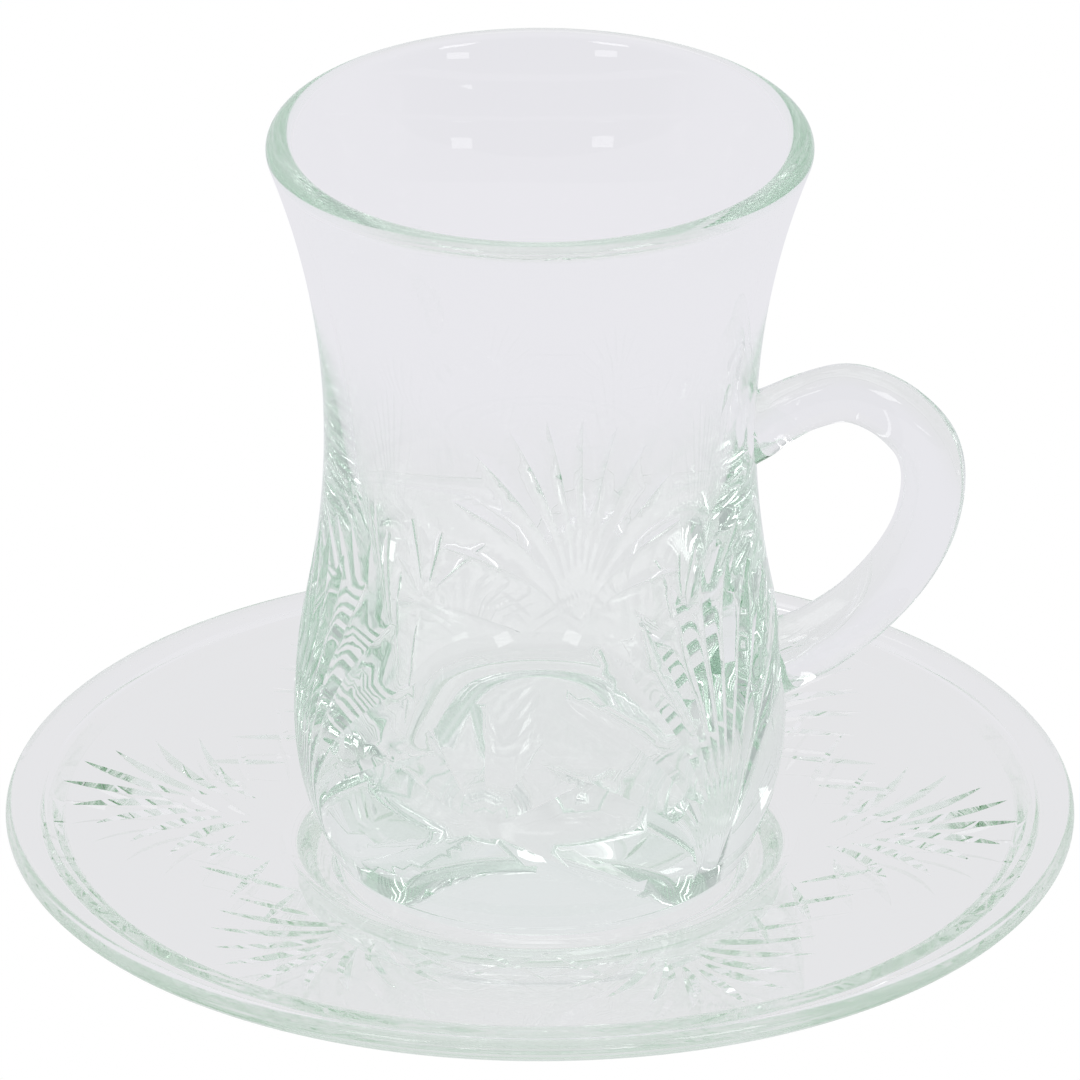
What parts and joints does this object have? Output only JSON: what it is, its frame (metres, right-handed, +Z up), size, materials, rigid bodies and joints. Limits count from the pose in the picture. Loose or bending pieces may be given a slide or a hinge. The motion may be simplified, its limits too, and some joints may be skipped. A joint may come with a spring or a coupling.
{
  "type": "tea glass with saucer",
  "caption": "Clear pressed-glass tea glass with a waisted body, looped side handle and palm-leaf cutting, standing in the well of a matching round saucer.",
  "frame": {"origin": "on the table under the middle of the saucer, which is the middle of the object's box at its base", "axes": "+Z up along the common axis of saucer and glass, +X towards the handle, +Y away from the viewer who has the handle on the right"},
  "size_m": [0.112, 0.112, 0.087],
  "materials": {
    "saucer_glass": "clear pressed soda-lime glass with a faint green tint, fire-polished, with sharp-edged pressed mitre cuts on top",
    "body_glass": "clear pressed soda-lime glass with a faint green tint, fire-polished, smooth above and mitre-cut on the lower outside",
    "handle_glass": "clear hot-applied glass, smooth and rounded, with a softer surface than the pressed body"
  },
  "bodies": {
    "saucer": {"saucer": "saucer_glass"},
    "tea_glass": {"glass_body": "body_glass", "glass_handle": "handle_glass"}
  },
  "joints": [
    {"name": "glass_lift", "type": "slide", "parent": "saucer", "child": "tea_glass", "axis": [0, 0, 1], "range_m": [0, 0.1]}
  ]
}
